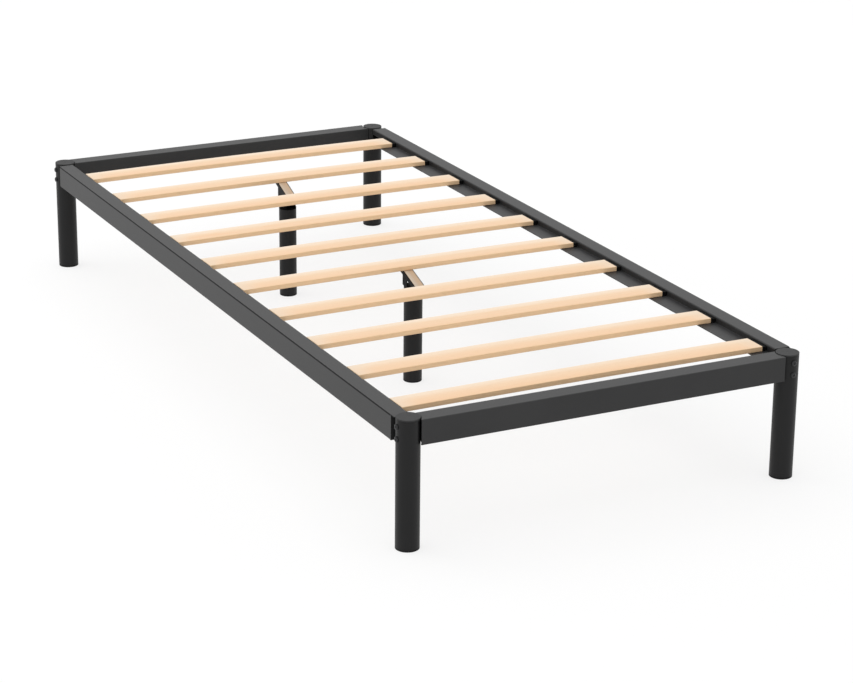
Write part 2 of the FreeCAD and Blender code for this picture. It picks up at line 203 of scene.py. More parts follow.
class Shade:
    """A shader socket that takes part in Python arithmetic: each operation adds its Math node."""

    def __init__(self, graph, socket):
        self.graph = graph
        self.socket = socket

    def math(self, operation, *values):
        return self.graph.node("ShaderNodeMath", {"operation": operation}, dict(enumerate(values)))

    def __add__(self, other):
        return self.math("ADD", self, other)

    def __radd__(self, other):
        return self.math("ADD", other, self)

    def __sub__(self, other):
        return self.math("SUBTRACT", self, other)

    def __rsub__(self, other):
        return self.math("SUBTRACT", other, self)

    def __mul__(self, other):
        return self.math("MULTIPLY", self, other)

    def __rmul__(self, other):
        return self.math("MULTIPLY", other, self)

    def __truediv__(self, other):
        return self.math("DIVIDE", self, other)

    def __pow__(self, other):
        return self.math("POWER", self, other)

    def step(self, low, high):
        """Smooth step from 0 at low to 1 at high."""
        return self.graph.node("ShaderNodeMapRange", {"interpolation_type": "SMOOTHSTEP"},
                               {"Value": self, "From Min": low, "From Max": high})

    def axis(self, letter):
        """One axis of a vector."""
        return self.graph.node("ShaderNodeSeparateXYZ", {}, {"Vector": self}, letter)


class Graph:
    """The node tree of a material or a world."""

    def __init__(self, owner):
        owner.use_nodes = True
        self.owner = owner
        self.tree = owner.node_tree
        self.tree.nodes.clear()

    def node(self, kind, settings=None, values=None, output=0):
        """Adds a node of a type: its settings first, then the values or links of its sockets."""
        made = self.tree.nodes.new(kind)
        for name, value in (settings or {}).items():
            setattr(made, name, value)
        for name, value in (values or {}).items():
            if isinstance(value, Shade):
                self.tree.links.new(value.socket, made.inputs[name])
            else:
                made.inputs[name].default_value = value
        return Shade(self, made.outputs[output]) if made.outputs else None

    def place(self):
        """Object coordinates, in metres."""
        return self.node("ShaderNodeTexCoord", output="Object")

    def layer(self, name):
        """A vector kept on the mesh for each point."""
        return self.node("ShaderNodeAttribute", {"attribute_name": name}, output="Vector")

    def scaled(self, vector, factors):
        """A vector with each axis times its own factor."""
        return self.node("ShaderNodeVectorMath", {"operation": "MULTIPLY"}, {0: vector, 1: factors})

    def noise(self, vector, scale, detail=2.0, roughness=0.5):
        """Soft noise about one half."""
        return self.node("ShaderNodeTexNoise", {}, {"Vector": vector, "Scale": scale, "Detail": detail,
                                                    "Roughness": roughness})

    def mix(self, factor, first, second):
        """Two colours mixed by a factor."""
        return self.node("ShaderNodeMix", {"data_type": "RGBA", "clamp_factor": True},
                         {0: factor, 6: first, 7: second}, 2)

    def bump(self, height, distance, strength=1.0):
        """Normal raised by a height from 0 to 1, times a distance in metres."""
        return self.node("ShaderNodeBump", {}, {"Height": height, "Distance": distance, "Strength": strength})

    def finish(self, **sockets):
        """Principled surface with these sockets, a low dash standing for a space, joined to the output."""
        values = {name.replace("_", " "): value for name, value in sockets.items()}
        surface = self.node("ShaderNodeBsdfPrincipled", {}, values)
        self.node("ShaderNodeOutputMaterial", {}, {"Surface": surface})
        return self.owner


def rgba(values, gain=1.0):
    """Colour of three numbers, times a gain, with an alpha of one."""
    return tuple(min(1.0, v * gain) for v in values) + (1.0,)


def graph_of(name):
    """Graph of a new material."""
    return Graph(bpy.data.materials.new(name))


def powder_coat(name, settings, tint, gloss):
    """Satin powder coat: a fine pebbled texture, slow clouds in colour and gloss, a painted highlight along
    the rounded edges, which are also a little glossier, and painted shade in the seams. gloss is the coat's
    refractive index."""
    g = graph_of(name)
    place = g.place()
    clouds = g.noise(place, 5.0, 4.0, 0.6)
    pebbles = g.noise(place, 1 / settings.coat_grain, 2.0, 0.6)
    peel = g.noise(place, 160.0, 1.0)
    faces = g.layer("faces")
    seam = faces.axis("Y")
    # Painted highlight: lighter tone along the rounded edges, broken up by noise; those edges are also a
    # little glossier
    edge_highlight = faces.axis("Z") * (0.35 + 0.5 * g.noise(place, 38.0, 3.0)) * (1 - seam)
    tone = g.mix(clouds.step(0.3, 0.7), rgba(tint, 0.90), rgba(tint, 1.12))
    tone = g.mix(pebbles.step(0.52, 0.72) * 0.35, tone, rgba(tint, 1.6))
    tone = g.mix(edge_highlight, tone, rgba(tint, 2.2))
    # Painted shade: near-black tone, and a rougher coat, along the seam under the flange's edge, where a
    # shadow falls
    tone = g.mix(seam, tone, rgba(tint, 0.05))
    roughness = settings.coat_roughness - 0.03 + 0.06 * clouds + 0.05 * pebbles - 0.08 * edge_highlight + 0.3 * seam
    relief = g.bump(pebbles + 1.5 * peel, 0.00007, 0.55)
    return g.finish(Base_Color=tone, Roughness=roughness, Normal=relief, IOR=gloss)


def moulding(name, tint, roughness, grain, depth, gloss):
    """Moulded plastic or rubber with an even grain of a given size and depth. gloss is its refractive
    index."""
    g = graph_of(name)
    place = g.place()
    clouds = g.noise(place, 60.0, 3.0)
    spark = g.noise(place, 1 / grain, 2.0, 0.55)
    tone = g.mix(clouds, rgba(tint, 0.85), rgba(tint, 1.2))
    # Painted highlight: lighter tone on the rounded rim, where the faces layer marks it
    tone = g.mix(g.layer("faces").axis("Z") * 0.6, tone, rgba(tint, 1.7))
    return g.finish(Base_Color=tone, Roughness=roughness - 0.05 + 0.1 * spark,
                    Normal=g.bump(spark, depth, 0.6), IOR=gloss)


def black_oxide(name):
    """Blackened steel of the bolt heads, with a painted highlight round the socket and the rim."""
    g = graph_of(name)
    place = g.place()
    mottle = g.noise(place, 420.0, 3.0, 0.6)
    # Painted highlight: lighter spots round the socket and the rim
    glint = g.layer("faces").axis("Z") * mottle.step(0.35, 0.75)
    tone = g.mix(mottle, (0.008, 0.008, 0.009, 1), (0.020, 0.020, 0.022, 1))
    tone = g.mix(glint, tone, (0.09, 0.09, 0.095, 1))
    return g.finish(Base_Color=tone, Roughness=0.32 + 0.18 * mottle, Metallic=0.25,
                    Normal=g.bump(mottle, 0.00003, 0.5))


def zinc_plate(name):
    """Dull zinc plating: fine grey crystals and a faint straw stain."""
    g = graph_of(name)
    place = g.place()
    crystals = g.node("ShaderNodeTexVoronoi", {}, {"Vector": place, "Scale": 900.0}, "Distance")
    stain = g.noise(place, 45.0, 3.0)
    tone = g.mix(stain.step(0.4, 0.7), (0.30, 0.305, 0.31, 1), (0.31, 0.285, 0.23, 1))
    return g.finish(Base_Color=tone, Roughness=0.28 + 0.22 * crystals, Metallic=1.0,
                    Normal=g.bump(crystals, 0.00002, 0.4))


def bare_wood(name, settings, gain):
    """Planed softwood: growth rings about the log's axis, long fibres and short dark pores, painted light
    that makes each slat's rear edge paler, painted shade that warms its front edge, and painted highlights on
    the arrises.
    Narrow edges have a tone that is partly their own and partly painted light, and cut ends have their own
    tone."""
    g = graph_of(name)
    board = g.layer("board")
    faces = g.layer("faces")
    side = faces.axis("X")
    end = faces.axis("Y")
    sway = g.noise(g.scaled(board, (1.3, 11.0, 11.0)), 1.0, 2.0)
    kink = g.noise(g.scaled(board, (9.0, 90.0, 90.0)), 1.0, 2.0)
    from_pith = g.node("ShaderNodeVectorMath", {"operation": "LENGTH"},
                       {0: g.scaled(board, (0.0, 1.0, 1.0))}, "Value")
    turns = (from_pith + 0.020 * sway + 0.0010 * kink) / settings.ring_width
    late = turns.math("FRACT", turns) ** 3.0
    late = late * (0.45 + 0.55 * g.noise(g.scaled(board, (0.8, 60.0, 60.0)), 1.0, 1.0))
    fibres = g.noise(g.scaled(board, (7.0, 1300.0, 1300.0)), 1.0, 3.0, 0.6)
    flecks = g.noise(g.scaled(board, (55.0, 2100.0, 2100.0)), 1.0, 1.0).step(0.60, 0.74)
    tint = g.noise(g.scaled(board, (0.9, 22.0, 22.0)), 1.0, 2.0).step(0.3, 0.7)
    spread = g.layer("spread")
    across = spread.axis("X") + 0.4 * (tint - 0.5)
    along = spread.axis("Y")
    # The last term is painted shade: warmer, darker wood towards each slat's front edge
    late_share = (0.22 * tint + 0.36 * late + 0.24 * fibres.step(0.35, 0.75)
                  + 0.34 * (0 - across).step(-0.5, 1.0))
    tone = g.mix(late_share, rgba(settings.pale, gain), rgba(settings.warm, gain))
    # Painted light: each slat's rear edge paler, as where more light falls on it
    tone = g.mix(0.85 * across.step(-0.1, 1.1), tone, rgba(settings.painted_rear_light, gain))
    tone = g.mix(0.55 * (along * along).step(0.76, 1.0), tone, rgba(settings.dry, gain))
    # Narrow edges: their own sawn tone, partly painted light, brighter and warmer than the grain alone
    tone = g.mix(side * 0.85, tone, g.mix(0.5 * late + 0.5 * fibres, rgba(settings.sawn, gain * 1.08),
                                         rgba(settings.sawn, gain * 0.86)))
    tone = g.mix(end * 0.8, tone, g.mix(late, rgba(settings.end, gain), rgba(settings.end, gain * 0.72)))
    tone = g.mix(flecks * 0.30, tone, rgba(settings.sawn, gain * 0.55))
    # Painted highlight along the arrises
    tone = g.mix(faces.axis("Z") * 0.25, tone, rgba(settings.sawn, gain * 1.15))
    relief = g.bump(0.55 * fibres + 0.45 * late - 0.6 * flecks, 0.00007, 0.7)
    return g.finish(Base_Color=tone, Roughness=0.52 + 0.14 * fibres + 0.08 * end, Normal=relief, IOR=1.45)


# ---------- surfaces ----------

LAYERS = ("board", "faces", "spread")
SEAM_SHADE_CHANNEL = 7              # the second number of the layer "faces", which marks where the seam's shade is painted


def channels(points, **layers):
    """Points with three numbers for the place, and three for each layer: board, the place in the log; faces,
    how far a point is on a narrow edge, on a cut end or in a seam's painted shade, and on an arris, where
    highlights are painted;
    and spread, its place across and along its piece from -1 to 1."""
    blank = np.zeros(points.shape)
    return np.concatenate([points] + [layers.get(name, blank) for name in LAYERS], axis=-1)


def skin(rings, loop=False, ladder=False):
    """Points and faces of a closed skin. Quads join each ring to the next, and with loop the last ring to
    the first. Otherwise both ends close: in a fan to the ring's middle or, as a ladder, by rungs that
    join the ring's first point to its last, the second to the last but one, and so on."""
    rows, around = rings.shape[:2]
    index = np.arange(rows * around).reshape(rows, around)
    low, high = (index, np.roll(index, -1, axis=0)) if loop else (index[:-1], index[1:])
    quads = np.stack([low, np.roll(low, -1, axis=1), np.roll(high, -1, axis=1), high], axis=-1).reshape(-1, 4)
    points = rings.reshape(rows * around, -1)
    triangles = np.zeros((0, 3), int)
    first, last = index[0], index[-1]
    if ladder:
        rungs = around // 2
        up, down = np.arange(rungs - 1), around - 1 - np.arange(rungs - 1)
        ends = [np.stack([first[up], first[down], first[down - 1], first[up + 1]], axis=-1),
                np.stack([last[up + 1], last[down - 1], last[down], last[up]], axis=-1)]
        quads = np.concatenate([quads] + ends)
    elif not loop:
        tips = np.repeat([[rows * around], [rows * around + 1]], around, axis=1)
        triangles = np.concatenate([np.stack([tips[0], np.roll(first, -1), first], axis=-1),
                                    np.stack([tips[1], last, np.roll(last, -1)], axis=-1)])
        points = np.concatenate([points, rings[[0, -1]].mean(axis=1)])
    return outwards(points, quads, triangles)


def outwards(points, quads, triangles):
    """The same faces, all turned over if the volume that they enclose comes out negative."""
    thirds = np.concatenate([quads[:, [0, 1, 2]], quads[:, [0, 2, 3]], triangles])
    a, b, c = (points[thirds[:, k], :3] for k in range(3))
    if np.einsum("ij,ij->", a, np.cross(b, c)) < 0:
        quads, triangles = quads[:, ::-1], triangles[:, ::-1]
    return points, quads, triangles


def piece_from(name, skins, material):
    """One object from one or more closed skins."""
    points, faces, offset = [], [], 0
    for place, quads, triangles in skins:
        points.append(place)
        faces += (quads + offset).tolist() + (triangles + offset).tolist()
        offset += len(place)
    points = np.concatenate(points)
    mesh = bpy.data.meshes.new(name)
    mesh.from_pydata(points[:, :3], [], faces)
    for count, layer in enumerate(LAYERS, start=1):
        values = points[:, 3 * count:3 * count + 3]
        if values.any():
            made = mesh.attributes.new(layer, "FLOAT_VECTOR", "POINT")
            made.data.foreach_set("vector", values.ravel().astype(np.float32))
    mesh.polygons.foreach_set("use_smooth", np.ones(len(mesh.polygons), bool))
    mesh.set_sharp_from_angle(angle=SHARP_ANGLE)
    mesh.materials.append(material)
    made = bpy.data.objects.new(name, mesh)
    bpy.context.scene.collection.objects.link(made)
    return made


def stand_for(piece, node):
    """The piece rides on the frame, and is shown in place of a node."""
    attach(piece, BODY)
    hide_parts(node)


def paint(nodes, material):
    """Gives CAD nodes that keep their shape a finish."""
    for node in nodes:
        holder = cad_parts[node]
        if not holder.material_slots:
            holder.data.materials.append(material)
        for slot in holder.material_slots:
            slot.material = material


def rounded_outline(width, height, radius):
    """Outline of a rectangle with round corners, and its outward normals: four quarter circles, joined by
    flats that are divided at FLATS."""
    turn = np.linspace(0, math.pi / 2, BEND_POINTS)[:, None]
    places, normals = [], []
    centres = np.array([[1, 1], [-1, 1], [-1, -1], [1, -1]]) * [width / 2 - radius, height / 2 - radius]
    for corner in range(4):
        angle = turn + corner * math.pi / 2
        out = np.concatenate([np.cos(angle), np.sin(angle)], axis=1)
        leave = centres[corner] + radius * out[-1]
        reach = centres[(corner + 1) % 4] + radius * out[-1]
        places += [centres[corner] + radius * out, leave + np.outer(FLATS, reach - leave)]
        normals += [out, np.repeat(out[-1:], len(FLATS), axis=0)]
    return np.concatenate(places), np.concatenate(normals)


def arris_of(normals):
    """How far each outline point is round a corner: 0 on a flat, and 1 half way round."""
    return 4 * normals[:, 0] ** 2 * normals[:, 1] ** 2


def plank(length_, width, thickness, arris, end_arris, crown, cut):
    """Rings of a plank along X, about its middle. The section is a rounded rectangle, which draws in
    by a quarter circle at each end, and the whole is lifted by crown * (1 - (2x / length)^2). cut holds
    the plank's shift in the log and its turn about it."""
    section, normals = rounded_outline(width, thickness, arris)
    turn = np.linspace(math.pi / 2, 0, 5)
    end_x = end_arris * (1 - np.sin(turn))
    draw = end_arris * (1 - np.cos(turn))
    middle = np.linspace(end_arris * 4, length_ - end_arris * 4, 61)
    x = np.concatenate([end_x, middle, length_ - end_x[::-1]]) - length_ / 2
    drawn = np.concatenate([draw, np.zeros(len(middle)), draw[::-1]])
    endness = np.concatenate([np.sin(turn), np.zeros(len(middle)), np.sin(turn[::-1])])
    flat = section[None] - drawn[:, None, None] * normals[None]
    lift = crown * (1 - (2 * x / length_) ** 2)
    along = np.broadcast_to(x[:, None], flat.shape[:2])
    points = np.stack([along, flat[..., 0], flat[..., 1] + lift[:, None]], axis=-1)
    shift, angle = cut[:3], cut[3]
    board = np.stack([points[..., 0] + shift[0],
                      flat[..., 0] * math.cos(angle) - flat[..., 1] * math.sin(angle) + shift[1],
                      flat[..., 0] * math.sin(angle) + flat[..., 1] * math.cos(angle) + shift[2]], axis=-1)
    grid = np.ones(flat.shape[:2])
    end = endness[:, None] * grid
    rounding = np.maximum(arris_of(normals)[None] * (1 - end), 4 * end ** 2 * (1 - end ** 2))
    faces = np.stack([np.abs(normals[:, 0])[None] * (1 - end), end ** 2, rounding], axis=-1)
    spread = np.stack([2 * flat[..., 0] / width, 2 * x[:, None] / length_ * grid, 0 * grid], axis=-1)
    return channels(points, board=board, faces=faces, spread=spread)


def moved(rings, place, turn=0.0):
    """Rings turned about Z and moved."""
    spin = np.array(Matrix.Rotation(turn, 3, "Z"))
    made = rings.copy()
    made[..., :3] = rings[..., :3] @ spin.T + np.array(place)
    return made


def lathe(profile, centre, arris=0.0):
    """Rings of a profile of radius and height pairs, turned about an upright axis. arris says how far each
    pair is on a rounded edge."""
    profile = np.array(profile)
    angle = np.linspace(0, 2 * math.pi, ROUND_STEPS, endpoint=False)
    radius, height = profile[:, 0, None], profile[:, 1, None]
    points = np.stack([centre.x + radius * np.cos(angle), centre.y + radius * np.sin(angle),
                       height + 0 * angle], axis=-1)
    faces = np.zeros(points.shape)
    faces[..., 2] = np.reshape(arris, (-1, 1))
    return channels(points, faces=faces)


def quarter(across, height, radius, sign=1):
    """Radius and height pairs on a quarter circle about a centre, from its outermost point up, or down
    with a sign of -1."""
    angle = np.radians(np.linspace(0, 90, 5))
    return [(across + radius * math.cos(a), height + sign * radius * math.sin(a)) for a in angle]


def middle_of(node):
    """Middle of a node's box."""
    low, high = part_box(node)
    return (low + high) / 2


def radius_of(node):
    """Outer radius of a round upright node."""
    low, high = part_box(node)
    return (high.x - low.x) / 2


# ---------- pieces ----------

def add_slats(wood):
    """Ten bowed planks, each cut from its own place in the log."""
    random = np.random.default_rng(wood.seed)
    material = bare_wood("slat wood", wood, 1.0)
    for node in SLATS:
        low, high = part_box(node)
        cut = [random.uniform(0, 40), random.uniform(-0.02, 0.02), random.uniform(0.035, 0.11),
               random.uniform(-0.9, 0.9)]
        size = high - low
        thickness = size.z - wood.crown
        rings = plank(size.x, size.y, thickness, wood.arris, wood.end_arris, wood.crown, cut)
        place = ((low.x + high.x) / 2, (low.y + high.y) / 2, low.z + thickness / 2)
        piece = piece_from(f"{node}_wood", [skin(moved(rings, place))], material)
        stand_for(piece, node)


def add_packing_strips(wood):
    """Short strips in the centre channels, turned with them. The box round a turned strip measures
    length * cos + width * sin along the bed and length * sin + width * cos across it, so the strip's own
    length and width are those two equations solved."""
    random = np.random.default_rng(wood.seed + 1)
    material = bare_wood("packing strip wood", wood, STRIP_SHADE)
    turn = math.radians(STRIP_TURN)
    for name in ("front", "rear"):
        node = f"{name}_packing_strip"
        low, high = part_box(node)
        span, spread = high.y - low.y, high.x - low.x
        length_ = (span * math.cos(turn) - spread * math.sin(turn)) / math.cos(2 * turn)
        width = (spread * math.cos(turn) - span * math.sin(turn)) / math.cos(2 * turn)
        cut = [random.uniform(0, 40), random.uniform(-0.02, 0.02), random.uniform(0.04, 0.09), 0.4]
        rings = plank(length_, width, high.z - low.z, STRIP_ARRIS, STRIP_END_ARRIS, 0.0, cut)
        rings = moved(rings, middle_of(node), math.pi / 2 - turn)
        stand_for(piece_from(f"{node}_wood", [skin(rings)], material), node)


def add_legs(steel, coat):
    """Round tubes: the profile runs up the outside, over the cut end, down the bore and back."""
    for name in CORNERS + CENTRES:
        node = f"{name}_leg"
        low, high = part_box(node)
        outer, bevel = radius_of(node), steel.leg_bevel
        bore = outer - LEG_WALL
        profile = [(outer, low.z + bevel), (outer, low.z + 6 * bevel)]
        profile += [(outer, z) for z in np.linspace(low.z + 0.02, high.z - 0.02, 7)]
        profile += [(outer, high.z - 6 * bevel), (outer, high.z - bevel), (outer - bevel, high.z),
                    (bore, high.z), (bore, low.z), (outer - bevel, low.z)]
        rings = lathe(profile, middle_of(node))
        stand_for(piece_from(f"{node}_steel", [skin(rings, loop=True)], coat), node)


def add_caps(mould):
    """Flat round caps: a plug, a lip with a rounded edge, and a gate mark in the middle."""
    material = moulding("cap plastic", mould.cap, roughness=0.6, grain=0.0008, depth=0.00004, gloss=1.45)
    edge, dimple = mould.cap_edge, mould.dimple
    for name in CORNERS:
        node = f"{name}_leg_cap"
        low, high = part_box(node)
        outer = radius_of(node)
        seat = high.z - CAP_THICKNESS
        plug = outer - LEG_WALL - PLUG_PLAY
        bore = plug - PLUG_WALL
        sunk = high.z - GATE_DEPTHS[name.split("_")[1]]
        underside = [(HUB, seat), (bore, seat), (bore, low.z), (plug, low.z), (plug, seat),
                     (outer - CAP_CHAMFER, seat), (outer, seat + CAP_CHAMFER), (outer, seat + 0.8 * MM)]
        rounding = quarter(outer - edge, high.z - edge, edge)
        top = [(outer - edge - 1 * MM, high.z), (outer * 0.5, high.z), (dimple + GATE_SLOPE, high.z),
               (dimple, high.z - 0.05 * MM), (dimple * 0.8, sunk), (0.3 * MM, sunk)]
        # How far each ring is on the rounded rim, which gets a painted highlight
        arris = [0.0] * len(underside) + [0.2, 0.8, 1.0, 0.8, 0.2] + [0.0] * len(top)
        rings = lathe(underside + rounding + top, middle_of(node), arris)
        stand_for(piece_from(f"{node}_moulding", [skin(rings)], material), node)


def add_feet(mould):
    """Glides: a tread with a rounded lower edge, a shallow groove under the tube, and a hollow plug."""
    material = moulding("glide plastic", mould.glide, roughness=0.55, grain=0.0009, depth=0.00005, gloss=1.3)
    for name in CORNERS + CENTRES:
        node = f"{name}_foot"
        low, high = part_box(node)
        outer = radius_of(node)
        top = low.z + FOOT_THICKNESS
        plug = outer - LEG_WALL - PLUG_PLAY
        bore = plug - PLUG_WALL
        profile = [(HUB, top), (bore, top), (bore, high.z), (plug, high.z), (plug, top),
                   (outer - FOOT_GROOVE, top), (outer, top - FOOT_GROOVE), (outer, low.z + 1.6 * MM)]
        profile += quarter(outer - FOOT_EDGE, low.z + FOOT_EDGE, FOOT_EDGE, -1)
        profile += [(outer - 2 * FOOT_EDGE, low.z), (HUB, low.z)]
        rings = lathe(profile, middle_of(node))
        stand_for(piece_from(f"{node}_moulding", [skin(rings)], material), node)


def add_end_rails(steel, coat):
    """Box tubes with round edges, coped at both ends round the legs that they meet."""
    for end in ("front", "rear"):
        node = f"{end}_rail"
        low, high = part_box(node)
        left, right = middle_of(f"left_{end}_leg"), middle_of(f"right_{end}_leg")
        radius = radius_of(f"left_{end}_leg")

        def starts(y):
            return np.maximum(low.x, left.x + cope(y - left.y, radius + RAIL_END_GAP))

        def ends(y):
            return np.minimum(high.x, right.x - cope(y - right.y, radius + RAIL_END_GAP))

        rings = box_tube(high.y - low.y, high.z - low.z, (low.y + high.y) / 2, (low.z + high.z) / 2,
                         steel.tube_edge, starts, ends)
        stand_for(piece_from(f"{node}_steel", [skin(rings, loop=True)], coat), node)


def add_side_rails(steel, coat):
    """Box tubes with round edges, cut square, with painted shade along the seam where the folded sheet's edge
    lies on them. The tube is worked out along the first axis, and then its first two axes change places."""
    for side in ("left", "right"):
        node = f"{side}_rail_tube"
        low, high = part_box(node)
        outer = max(abs(low.x), abs(high.x))
        rings = box_tube(high.x - low.x, high.z - low.z, (low.x + high.x) / 2, (low.z + high.z) / 2,
                         steel.tube_edge, lambda x: 0 * x + low.y, lambda x: 0 * x + high.y)
        rings = np.concatenate([rings[..., 1::-1], rings[..., 2:]], axis=-1)
        # Painted shade: the seam along the tube's outer top edge is marked for it
        outer_top = (np.abs(rings[..., 0]) > outer - SEAM_BAND) & (rings[..., 2] > high.z - SEAM_BAND)
        rings[outer_top, SEAM_SHADE_CHANNEL] = 1.0
        stand_for(piece_from(f"{node}_steel", [skin(rings, loop=True)], coat), node)


def cope(offset, radius):
    """How far a round leg reaches along a rail, at an offset to one side of its axis."""
    return np.sqrt(np.clip(radius ** 2 - offset ** 2, 0, None))


def box_tube(width, height, across, up, radius, starts, ends):
    """Rings of a box tube along the first axis. Each goes round the section, and together they run along
    the outside and back along the bore. starts and ends give the cut at each offset across."""
    outer, normals = rounded_outline(width, height, radius)
    inner = rounded_outline(width - 2 * TUBE_WALL, height - 2 * TUBE_WALL, radius / 3)[0]
    along = np.array(LONG_STEPS)
    rows = []
    for section, steps, used in ((outer, along, 1), (inner, along[::-1], 0)):
        y = section[:, 0] + across
        x = starts(y) + steps[:, None] * (ends(y) - starts(y))
        grid = np.ones(x.shape)
        points = np.stack([x, y * grid, (section[:, 1] + up) * grid], axis=-1)
        faces = np.zeros(points.shape)
        faces[..., 2] = used * arris_of(normals)
        rows.append(channels(points, faces=faces))
    return np.concatenate(rows)


def add_ledges(steel, coat):
    """Folded sheets over the side rails: a flange, a riser and the ledge for the slats. Each point of the
    sheet's outline is carried along Y, from its own start to its own end: flange and riser from the front
    leg to near the rail's end, and the ledge over a shorter stretch."""
    for side, sign in (("left", -1), ("right", 1)):
        node = f"{side}_slat_ledge"
        low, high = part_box(node)
        leg = middle_of(f"{side}_front_leg")
        radius = radius_of(f"{side}_front_leg")
        outline, inner_edge = sheet_outline(steel.sheet_bend, steel.seam, high.x - low.x)
        x = sign * (max(abs(low.x), abs(high.x)) - outline[:, 0])
        z = high.z - outline[:, 1]
        starts = np.maximum(low.y, leg.y + cope(x - leg.x, radius))
        on_ledge = outline[:, 0] > inner_edge
        short = 0 if side == "left" else SHORT_FLANGE
        starts = np.where(on_ledge, np.maximum(starts, LEDGE_FRONT), starts + short)
        ends = np.where(on_ledge, LEDGE_REAR, high.y - SHORT_FLANGE)
        y = starts + np.array(SHEET_STEPS)[:, None] * (ends - starts)
        grid = np.ones(y.shape)
        points = np.stack([x * grid, y, z * grid], axis=-1)
        faces = np.zeros(points.shape)
        # Painted shade: the sheet's outer edge, in the seam, is marked for it
        faces[..., 1] = (outline[:, 0] < steel.seam + 0.1 * MM) & (outline[:, 1] > SHEET / 2)
        closed = skin(channels(points, faces=faces), ladder=True)
        stand_for(piece_from(f"{node}_steel", [closed], coat), node)


def sheet_outline(bend, seam, reach):
    """Outline of the folded sheet, as distances in from the rail's outer face and down from the top, and
    how far in the ledge starts. A middle line from seam to reach, with two bends of the given radius, is
    offset by half the sheet to each side."""
    half = SHEET / 2
    riser = SIDE_RAIL_WIDTH - half
    drop = LEDGE_DROP + half
    turn = np.linspace(0, math.pi / 2, BEND_POINTS)
    first = np.stack([riser - bend + bend * np.sin(turn), half + bend - bend * np.cos(turn)], axis=-1)
    second = np.stack([riser + bend - bend * np.cos(turn), drop - bend + bend * np.sin(turn)], axis=-1)
    flange = np.stack([np.array([seam, seam + 0.6 * MM, seam + 2 * MM, riser / 2, riser - bend - 0.6 * MM]),
                       np.full(5, half)], axis=-1)
    wall = np.array([[riser, half + bend + 0.5 * MM], [riser, drop - bend - 0.5 * MM]])
    ledge = np.stack([np.array([riser + bend + 0.6 * MM, (riser + reach) / 2, reach - 0.6 * MM, reach]),
                      np.full(4, drop)], axis=-1)
    line = np.concatenate([flange, first, wall, second, ledge])
    ahead = np.gradient(line, axis=0)
    ahead /= np.linalg.norm(ahead, axis=1)[:, None]
    normal = np.stack([ahead[:, 1], -ahead[:, 0]], axis=-1)
    return np.concatenate([line + half * normal, (line - half * normal)[::-1]]), riser + half * 1.2


def bolt_rings():
    """Rings of one button-head bolt about its axis: height from the seat, two offsets, and how much painted
    highlight each ring gets. A ring is round, or inside the socket hexagonal, with the distance across flats
    given."""
    # Each station: height and radius in millimetres, 1 where the ring is hexagonal, and its share of painted
    # highlight
    shank = [(-65.0, 2.4, 0, 0), (-64.4, 3.0, 0, 0), (-0.2, 3.0, 0, 0), (0.0, 3.1, 0, 0)]
    rim = [(0.0, 5.7, 0, 0), (0.25, 6.0, 0, 0.6)]
    glint_shares = [0.5, 0, 0, 0, 0, 0, 0.5]
    dome = [(0.9 + 2.6 * math.sin(a), 2.9 + 3.1 * math.cos(a), 0, glint)
            for a, glint in zip(np.radians(np.linspace(0, 90, 7)), glint_shares)]
    socket = [(3.5, 2.55, 0, 1.0), (3.2, 2.3, 1, 0.6), (1.7, 2.3, 1, 0), (1.5, 2.1, 1, 0), (1.3, 0.4, 0, 0)]
    height, radius, hexagonal, arris = np.array(shank + rim + dome + socket).T[:, :, None]
    height, radius = height * MM, radius * MM
    angle = np.linspace(0, 2 * math.pi, BOLT_STEPS, endpoint=False)
    flats = SOCKET_FLATS / 2 / np.cos(np.mod(angle, math.pi / 3) - math.pi / 6)
    reach = np.where(hexagonal > 0.5, radius / SOCKET_RADIUS * flats, radius)
    return height, reach * np.cos(angle), reach * np.sin(angle), arris


def add_bolts():
    """Button-head bolts through the corner legs: across the bed on the left, and along it on the right."""
    height, first, second, arris = bolt_rings()
    skins = []
    for name in CORNERS:
        leg = middle_of(f"{name}_leg")
        radius = radius_of(f"{name}_leg")
        way = Vector((-1, 0, 0)) if name.startswith("left") else Vector((0, math.copysign(1, leg.y), 0))
        beside = way.cross(Vector((0, 0, 1)))
        for z in BOLT_HEIGHTS:
            seat = Vector((leg.x, leg.y, z)) + way * radius
            points = (np.array(seat) + height[..., None] * np.array(way) + first[..., None] * np.array(beside)
                      + second[..., None] * np.array((0, 0, 1)))
            faces = np.zeros(points.shape)
            faces[..., 2] = arris
            skins.append(skin(channels(points, faces=faces)))
    piece = piece_from("corner_bolts_steel", skins, black_oxide("black oxide"))
    stand_for(piece, "corner_bolts")


# ---------- studio ----------

def look_from(place, pitch, roll, yaw):
    """Camera matrix: looking along +Y, turned right by yaw, tipped down by pitch, then rolled."""
    ahead = Vector((math.sin(yaw) * math.cos(pitch), math.cos(yaw) * math.cos(pitch), -math.sin(pitch)))
    right = Vector((math.cos(yaw), -math.sin(yaw), 0))
    up = right.cross(ahead)
    rolled_right = right * math.cos(roll) + up * math.sin(roll)
    rolled_up = up * math.cos(roll) - right * math.sin(roll)
    turn = Matrix((rolled_right, rolled_up, -ahead)).transposed()
    return Matrix.Translation(place) @ turn.to_4x4()


def add_camera(stage):
    """The camera."""
    data = bpy.data.cameras.new("camera")
    data.sensor_fit = "HORIZONTAL"
    data.sensor_width = 36.0
    data.lens = stage.lens
    data.clip_end = 100.0
    holder = bpy.data.objects.new("camera", data)
    holder.matrix_world = look_from(stage.camera, *stage.aim)
    bpy.context.scene.collection.objects.link(holder)
    bpy.context.scene.camera = holder


def seen_directly(g):
    """1 for what the camera sees straight, in a reflection or through glass, and 0 for light that falls."""
    seen, mirrored, passed = (g.node("ShaderNodeLightPath", output=name)
                              for name in ("Is Camera Ray", "Is Glossy Ray", "Is Transmission Ray"))
    return seen.math("MAXIMUM", seen.math("MAXIMUM", seen, mirrored), passed)


